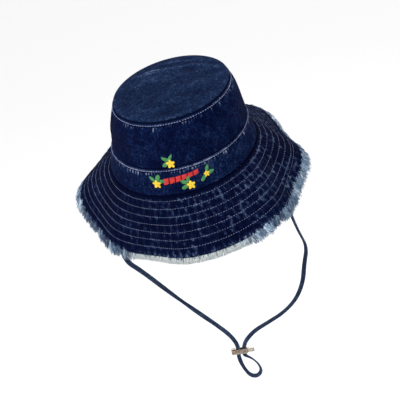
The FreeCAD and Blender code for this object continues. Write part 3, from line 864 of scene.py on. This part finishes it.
def fringe(label, depth, count, seed, node, spread):
    """A frayed edge: clumped yarn ends that run out of one brim layer."""
    pick = np.random.default_rng(seed)
    turn = pick.uniform(-180, 180, count)
    way = np.radians(turn) * (HALF_WIDTH + BRIM_WIDTH)
    clump = noise(places((way, 4.5)), seed) - 0.5
    patchy = noise(places((way, 13)), seed + 1) - 0.5
    white = bare(turn) * (pick.uniform(0, 1, count) > 0.22)
    stub = (white == 0) & (bare(turn) > 0.3)
    length = FRINGE * (0.95 + 0.45 * patchy + 0.2 * clump + pick.uniform(-0.22, 0.22, count))
    length *= (1 + 0.25 * fade(np.abs(turn - LONG_MIDDLE), 20, 50))
    length = length * (1 - white) + FRINGE * 0.75 * white * pick.uniform(0.9, 1.05, count)
    length = np.where(stub, FRINGE * pick.uniform(0.08, 0.42, count), length)
    lean = (clump * 80 + patchy * 70) * (1 - 0.8 * white) + pick.normal(0, 13, count)
    rise = pick.normal(0, spread, count) + clump * 2.0 * MM * (1 - white)
    steps = len(YARN_TAPER)
    share = np.linspace(0, 1, steps)[None]
    bend = np.radians(lean)[:, None] * (0.4 + 0.8 * share)
    run_step = length[:, None] / (steps - 1) * np.cos(bend)
    side_step = length[:, None] / (steps - 1) * np.sin(bend)
    over = (pick.uniform(0, 1, count) < 0.4) & (depth < DENIM) & (white < 0.3)
    root = BRIM_WIDTH - (0.4 + pick.uniform(0, 1, count) ** 2 * np.where(over, 3.8, 1.0)) * MM
    lying = np.where(over, -0.35 * MM, depth)[:, None] * (1 - share) + depth * share
    run = root[:, None] + np.cumsum(run_step, axis=1) - run_step[:, :1]
    sideways = np.cumsum(side_step, axis=1) - side_step[:, :1]
    bearing = turn[:, None] + np.degrees(sideways / (HALF_WIDTH + BRIM_WIDTH))
    wave = 0.3 * MM * np.sin(share * 9 + pick.uniform(0, 6, (count, 1)))
    wave = rise[:, None] * share ** 1.4 + wave
    paths = brim_point(bearing, run, lying - wave)
    radii = pick.uniform(0.26, 0.46, (count, 1)) * MM * np.array(YARN_TAPER)[None]
    ups = unit(brim_point(turn, root, -1 * MM) - brim_point(turn, root, 0))
    tone = 0.34 + 0.60 * clump + 0.40 * patchy + pick.normal(0, 0.20, count)
    # Painted shade: yarns on the hat's left side are made darker.
    tone -= 0.14 * painted_left_shade(turn)
    tone = np.where(stub, 0.15 + pick.normal(0, 0.12, count), tone)
    tone = np.where(white > 0.5, 0.5 + pick.normal(0, 0.12, count), tone)
    item = threads(label, paths, radii, ups, 4, 0.7, {"tone": tone, "white": white})
    finish_piece(item, fringe_yarn, node)


fringe("fringe_yarns_upper", DENIM / 2, 5200, 401, "fringe_upper", 0.9 * MM)
fringe("fringe_yarns_under", under_top + DENIM / 2, 3800, 402, "fringe_under", 0.9 * MM)


# ---------------------------------------------------------------- embroidery
def front_point(x, z, proud):
    """A point on the front of the crown's side, straight behind (x, z)."""
    half_width = HALF_WIDTH - TAPER * z + proud
    half_depth = (HALF_WIDTH - TAPER * z) * DEPTH_RATIO + proud
    y = -half_depth * np.sqrt(1 - ((x - CROWN_LEAN * z) / half_width) ** 2)
    return columns(x, y, z)


def outline_spans(corners, lean, pitch):
    """Where parallel threads at a lean cross a closed outline: pairs of ends."""
    corners = np.array(corners, float)
    turn = np.array([[math.cos(lean), math.sin(lean)], [-math.sin(lean), math.cos(lean)]])
    flat = corners @ turn.T
    spans = []
    for level in np.arange(flat[:, 1].min() + pitch / 2, flat[:, 1].max(), pitch):
        hits = []
        for (x0, y0), (x1, y1) in zip(flat, np.roll(flat, -1, axis=0)):
            if (y0 - level) * (y1 - level) < 0:
                hits.append(x0 + (level - y0) / (y1 - y0) * (x1 - x0))
        hits.sort()
        for left, right in zip(hits[::2], hits[1::2]):
            spans.append((np.array([left, level]) @ turn, np.array([right, level]) @ turn))
    return spans


def satin(name, shapes, material, node, base=0.25 * MM):
    """Satin stitch: shapes are (outline in mm, lean in degrees, height in mm)."""
    paths, tones = [], []
    for outline, lean, rise in shapes:
        for start, end in outline_spans(outline, math.radians(lean), 0.42):
            share = np.linspace(0, 1, 7)
            line = start[None] + (end - start)[None] * share[:, None]
            arch = base + (0.15 + rise * np.sin(share * math.pi) ** 0.6) * MM
            paths.append(front_point(line[:, 0] * MM, line[:, 1] * MM, arch))
            tones.append(random.uniform(0.2, 0.75))
    paths = np.array(paths)
    radii = np.array([0.6, 1, 1, 1, 1, 1, 0.6]) * 0.27 * MM
    middle = paths[:, 3]
    ups = unit(columns(middle[:, 0], middle[:, 1] / DEPTH_RATIO, 0.02))
    item = threads(name, paths, radii, ups, 6, 0.9, {"tone": np.array(tones)})
    finish_piece(item, material, node)


def oval(x, z, long, short, lean, count=22):
    """An oval outline, in millimetres."""
    turn = np.linspace(0, 2 * math.pi, count, endpoint=False)
    across, along = short * np.sin(turn), long * np.cos(turn)
    cos, sin = math.cos(math.radians(lean)), math.sin(math.radians(lean))
    return [(x + a * cos - b * sin, z + a * sin + b * cos) for a, b in zip(along, across)]


# Blossoms as (x, z, radius) and leaves as (x, z, half length, half width, lean), in millimetres.
BLOSSOMS = ((-18.6, 35.6, 4.9), (-40.2, 14.6, 4.6), (-4.0, 8.6, 5.0), (16.0, 14.6, 3.4))
LEAVES = ((-22.5, 41.2, 4.6, 2.5, 150), (-17.0, 43.0, 4.0, 2.2, 60), (-24.2, 35.4, 3.9, 2.2, 30),
          (-37.4, 21.2, 4.2, 2.3, 60), (-34.2, 17.4, 3.6, 2.0, 10), (-43.6, 20.4, 3.4, 1.9, 130),
          (-10.4, 13.2, 4.2, 2.3, 150), (-11.2, 7.6, 3.8, 2.1, 20), (-5.6, 15.4, 3.6, 1.9, 70),
          (20.6, 14.8, 4.0, 2.2, 10), (18.0, 20.2, 3.8, 2.1, 70), (11.4, 11.0, 3.8, 2.1, 40))
PETALS = 5


def petals():
    """Round petals about each blossom's middle."""
    shapes = []
    for x, z, radius in BLOSSOMS:
        for petal in range(PETALS):
            lean = 90 + petal * 360 / PETALS
            out = radius * 0.52
            middle_x = x + out * math.cos(math.radians(lean))
            middle_z = z + out * math.sin(math.radians(lean))
            outline = oval(middle_x, middle_z, radius * 0.46, radius * 0.34, lean)
            shapes.append((outline, lean + 90, 0.45))
    return shapes


def bar_blocks():
    """The slanted bar, in six leaning blocks."""
    shapes = []
    left, right, blocks = -33.0, 8.6, 6
    width = (right - left) / blocks
    for block in range(blocks):
        x0, x1 = left + block * width, left + (block + 1) * width - 0.9
        low0, low1 = 13.2 + (x0 - left) * 0.125, 13.2 + (x1 - left) * 0.125
        high0, high1 = 20.0 + (x0 - left) * 0.072, 20.0 + (x1 - left) * 0.072
        shapes.append(([(x0, low0), (x1, low1), (x1 + 1.2, high1), (x0 + 1.2, high0)], 4, 0.4))
    return shapes


satin("embroidered_bar", bar_blocks(), red_thread, "embroidery_bar")
satin("embroidered_leaves", [(oval(x, z, long, short, lean), lean + 65, 0.4)
                             for x, z, long, short, lean in LEAVES],
      green_thread, "embroidery_leaves", 0.35 * MM)
satin("embroidered_blossoms", petals(), yellow_thread, "embroidery_blossoms",
      0.5 * MM)


# ---------------------------------------------------------------- label and tabs
def patch(name, corners_low, corners_high, depth, thick, axis, material, slot, node):
    """A small flat piece of cloth on the inside of the crown, with soft edges."""
    (a_low, z_low), (a_high, z_high) = corners_low, corners_high
    across = np.linspace(a_low, a_high, 40)[None]
    height = np.linspace(z_low, z_high, 26)[:, None]
    rim = np.minimum(across - a_low, a_high - across)
    rim = np.minimum(rim, np.minimum(height - z_low, z_high - height))
    soft = thick * 0.35 * (1 - ramp(rim, 0, 0.8 * MM))
    groove = 0.2 * MM * hump(rim, 1.4 * MM, 0.35 * MM)
    faces = []
    for inset in (depth + thick - soft - groove, depth + soft):
        half_width = HALF_WIDTH - TAPER * height - inset
        half_depth = (HALF_WIDTH - TAPER * height) * DEPTH_RATIO - inset
        if axis == "back":
            y = half_depth * np.sqrt(1 - ((across - CROWN_LEAN * height) / half_width) ** 2)
            faces.append(columns(across, y, height))
        else:
            x = axis * half_width * np.sqrt(1 - (across / half_depth) ** 2) + CROWN_LEAN * height
            faces.append(columns(x, across, height))
    cloth = columns(across, height, 0)
    item = shell(name, faces[0], faces[1], cloth, 0.3 + 0 * rim)
    tidy = bmesh.new()
    tidy.from_mesh(item.data)
    bmesh.ops.recalc_face_normals(tidy, faces=tidy.faces)
    tidy.to_mesh(item.data)
    tidy.free()
    finish_piece(item, material, node)


inner_depth = sweat_depth + SWEATBAND + LAYER_GAP
patch("blank_label", (-15 * MM, 5 * MM), (15 * MM, 21 * MM), inner_depth + 0.9 * MM, 0.5 * MM,
      "back", label_cloth, "label_cloth", "woven_label")
for side, end in ((-1, "left"), (1, "right")):
    patch(f"strap_tape_{end}", (-5 * MM, -0.1 * MM), (5 * MM, 9.5 * MM), inner_depth, 2.0 * MM,
          side, tab_cloth, "tab_cloth", f"strap_tab_{end}")


# ---------------------------------------------------------------- strap
LEFT_END = (-0.08495, 0, -0.0012)
RIGHT_END = (0.08495, 0, -0.0012)
STRAP_ROUTE = (
    LEFT_END, (-0.088, 0, -0.03), (-0.099, 0, -0.068), (-0.112, 0, -0.103), (-0.1185, 0, -0.136),
    (-0.102, 0, -0.163), (-0.0802, 0, -0.2074), (-0.055, 0, -0.255), (-0.03, 0, -0.299),
    (-0.017, 0, -0.326), (-0.012, 0, -0.3498), (-0.0164, 0, -0.3672), (-0.0155, 0, -0.387),
    (-0.0125, 0, -0.402), (-0.009, 0, -0.413), (-0.002, 0, -0.42), (0.0055, 0, -0.4185),
    (0.0098, 0, -0.411), (0.009, 0, -0.4), (0.0055, 0, -0.389), (-0.0005, 0, -0.3785),
    (-0.0086, 0, -0.3692), (-0.0042, 0, -0.3517), (0.0025, 0, -0.3405), (0.018, 0, -0.3285),
    (0.041, 0, -0.321), (0.0645, 0, -0.3125), (0.087, 0, -0.2955), (0.1025, 0, -0.268),
    (0.11, 0, -0.237), (0.1195, 0, -0.2085), (0.113, 0, -0.18), (0.1085, 0, -0.15),
    (0.1045, 0, -0.11), (0.0976, 0, -0.072), (0.089, 0, -0.034), RIGHT_END)
LOCK_HEIGHT = -0.3600
STRAP_WIDTH = 6.5 * MM
STRAP_THICK = 1.6 * MM
# The strap's twist from face-on, in degrees, at shares of its length.
STRAP_TWIST = ((0, 0), (0.13, 20), (0.19, 35), (0.225, 45), (0.262, 78), (0.29, 50), (0.33, 5),
               (0.36, 15), (0.385, 45), (0.40, 5), (0.422, 0), (0.445, 55), (0.49, 62),
               (0.525, 50), (0.546, 0), (0.568, 0), (0.585, 25), (0.61, 15), (0.66, 0),
               (0.72, 8), (0.75, 50), (0.79, 62), (0.90, 55), (1, 0))


def nurbs_line(points):
    """The smooth line that a route's points control."""
    curve = bpy.data.curves.new("route", "CURVE")
    curve.dimensions = "3D"
    curve.resolution_u = 12
    spline = curve.splines.new("NURBS")
    spline.points.add(len(points) - 1)
    for place, point in zip(spline.points, points):
        place.co = (*point, 1)
    spline.order_u = 3
    spline.use_endpoint_u = True
    holder = bpy.data.objects.new("route", curve)
    bpy.context.scene.collection.objects.link(holder)
    line = bpy.data.meshes.new_from_object(holder)
    line_points = np.array([v.co for v in line.vertices])
    bpy.data.objects.remove(holder)
    return line_points


def chin_strap():
    """A folded denim strip that follows the route and twists as it hangs."""
    line = nurbs_line(STRAP_ROUTE)
    way = np.concatenate([[0], np.cumsum(np.linalg.norm(np.diff(line, axis=0), axis=1))])
    count = 900
    even = np.linspace(0, way[-1], count)
    path = np.stack([np.interp(even, way, line[:, axis]) for axis in range(3)], axis=-1)
    share = even / way[-1]
    stops = np.array(STRAP_TWIST, float)
    twist = np.interp(share, stops[:, 0], stops[:, 1])
    kernel = np.hanning(31)
    twist = np.convolve(np.pad(twist, 15, mode="edge"), kernel / kernel.sum(), "valid")
    twist = np.radians(twist)
    along = unit(np.gradient(path, axis=0))
    deep = np.array([0, 1.0, 0])
    level = unit(np.cross(along, deep))
    wide = level * np.cos(twist)[:, None] + deep * np.sin(twist)[:, None]
    flat = np.cross(along, wide)
    sides = 20
    turn = np.arange(sides) * 2 * math.pi / sides
    ends = np.minimum(1, np.minimum(even, even[::-1]) / (0.9 * MM) * 0.5 + 0.5)
    in_lock = hump(path[:, 2], LOCK_HEIGHT, 7 * MM)
    width = STRAP_WIDTH / 2 * (1 + 0.05 * rough(places((even, 22)), 501, 2))
    width *= (1 - 0.08 * in_lock)
    thick = STRAP_THICK / 2 * ends * (1 - 0.15 * in_lock)
    # A folded strip is thickest at its edges, with a shallow valley where its stitches run.
    across = np.sign(np.cos(turn)) * np.abs(np.cos(turn)) ** 0.55
    rise = np.sign(np.sin(turn)) * np.abs(np.sin(turn)) ** 0.7 * (0.82 + 0.18 * across ** 2)
    crinkle = rough(columns(even[:, None] / (5 * MM), turn[None] * 2), 503, 2) * 0.10
    points = (path[:, None] + wide[:, None] * (across[None] * width[:, None])[..., None]
              + flat[:, None] * (rise[None] * thick[:, None] * (1 + crinkle))[..., None])
    index = np.arange(count * sides).reshape(1, count, sides)
    fold = 0.35 * hump(np.abs(across), 1, 0.25)
    wear_and_shade = 0.35 + fold[None] + 0.15 * rough(columns(even[:, None] / (9 * MM), turn[None]), 505, 2)
    cloth = columns(across[None] * STRAP_WIDTH / 2 + 0 * even[:, None], even[:, None], 0)
    values = {"cloth": cloth.reshape(-1, 3), "wear_and_shade": wear_and_shade.ravel()}
    item = make_mesh("chin_strap_strip", points.reshape(-1, 3), tube_quads(index), values)
    item.data.materials.append(strap_cloth)
    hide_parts("chin_strap")
    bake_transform(item)
    return item


chin_strap()

# ---------------------------------------------------------------- lock
nickel = metal("lock_nickel", (0.42, 0.35, 0.29), (0.10, 0.065, 0.045), 0.14)
plunger_nickel = metal("plunger_nickel", (0.60, 0.56, 0.50), (0.16, 0.12, 0.09), 0.14)
brass = metal("lock_brass", (0.34, 0.22, 0.10), (0.16, 0.10, 0.05), 0.25)
steel = metal("spring_steel", (0.55, 0.55, 0.55), (0.35, 0.33, 0.30), 0.3)
for node, material in (("cord_lock_barrel", nickel), ("cord_lock_plunger", plunger_nickel),
                       ("cord_lock_end_cap", brass), ("cord_lock_spring", steel)):
    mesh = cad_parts[node].data
    mesh.materials.clear()
    mesh.materials.append(material)

# ---------------------------------------------------------------- stage, light and camera
FLOOR_DROP = 1.4
FLOOR_SIZE = 60
CAMERA_PLACE = (0, -0.8256, 0.4827)
CAMERA_TILT = 34.35
CAMERA_ROLL = 17.84
LENS = 70.8


def floor():
    """A plain pale floor, well below the strap."""
    bpy.ops.mesh.primitive_plane_add(size=FLOOR_SIZE, location=(0, 0, -FLOOR_DROP))
    item = bpy.context.object
    item.name = "floor"
    n = Nodes("pale_floor")
    item.data.materials.append(n.set(Base_Color=(0.93, 0.93, 0.93, 1), Roughness=0.9,
                                     Specular_IOR_Level=0.1))


def area_light(name, place, aim, size, power):
    """A soft square lamp that faces a point."""
    lamp = bpy.data.lights.new(name, "AREA")
    lamp.shape = "SQUARE"
    lamp.size = size
    lamp.energy = power
    item = bpy.data.objects.new(name, lamp)
    bpy.context.scene.collection.objects.link(item)
    item.location = place
    item.rotation_euler = (Vector(aim) - Vector(place)).to_track_quat("-Z", "Y").to_euler()


def camera():
    """The camera, rolled so that the hat leans left in the picture."""
    tilt, roll = math.radians(CAMERA_TILT), math.radians(CAMERA_ROLL)
    back = Vector((0, -math.cos(tilt), math.sin(tilt)))
    right = Vector((1, 0, 0))
    up = back.cross(right)
    rolled_right = right * math.cos(roll) - up * math.sin(roll)
    rolled_up = up * math.cos(roll) + right * math.sin(roll)
    data = bpy.data.cameras.new("camera")
    data.lens = LENS
    item = bpy.data.objects.new("camera", data)
    bpy.context.scene.collection.objects.link(item)
    turn = Matrix((rolled_right, rolled_up, back)).transposed().to_4x4()
    item.matrix_world = Matrix.Translation(CAMERA_PLACE) @ turn
    bpy.context.scene.camera = item


floor()
area_light("key", (-0.9, -0.5, 1.2), (0, 0, 0), 0.6, 18)
area_light("fill", (1.2, -0.8, 0.7), (0, 0, -0.1), 1.2, 5)
area_light("rim", (0.5, 1.3, 1.0), (0, 0, 0), 0.8, 9)
world = bpy.data.worlds.new("studio")
world.use_nodes = True
world.node_tree.nodes["Background"].inputs["Color"].default_value = (1, 1, 1, 1)
world.node_tree.nodes["Background"].inputs["Strength"].default_value = 1.0
bpy.context.scene.world = world
bpy.context.scene.view_settings.view_transform = "Standard"
camera()
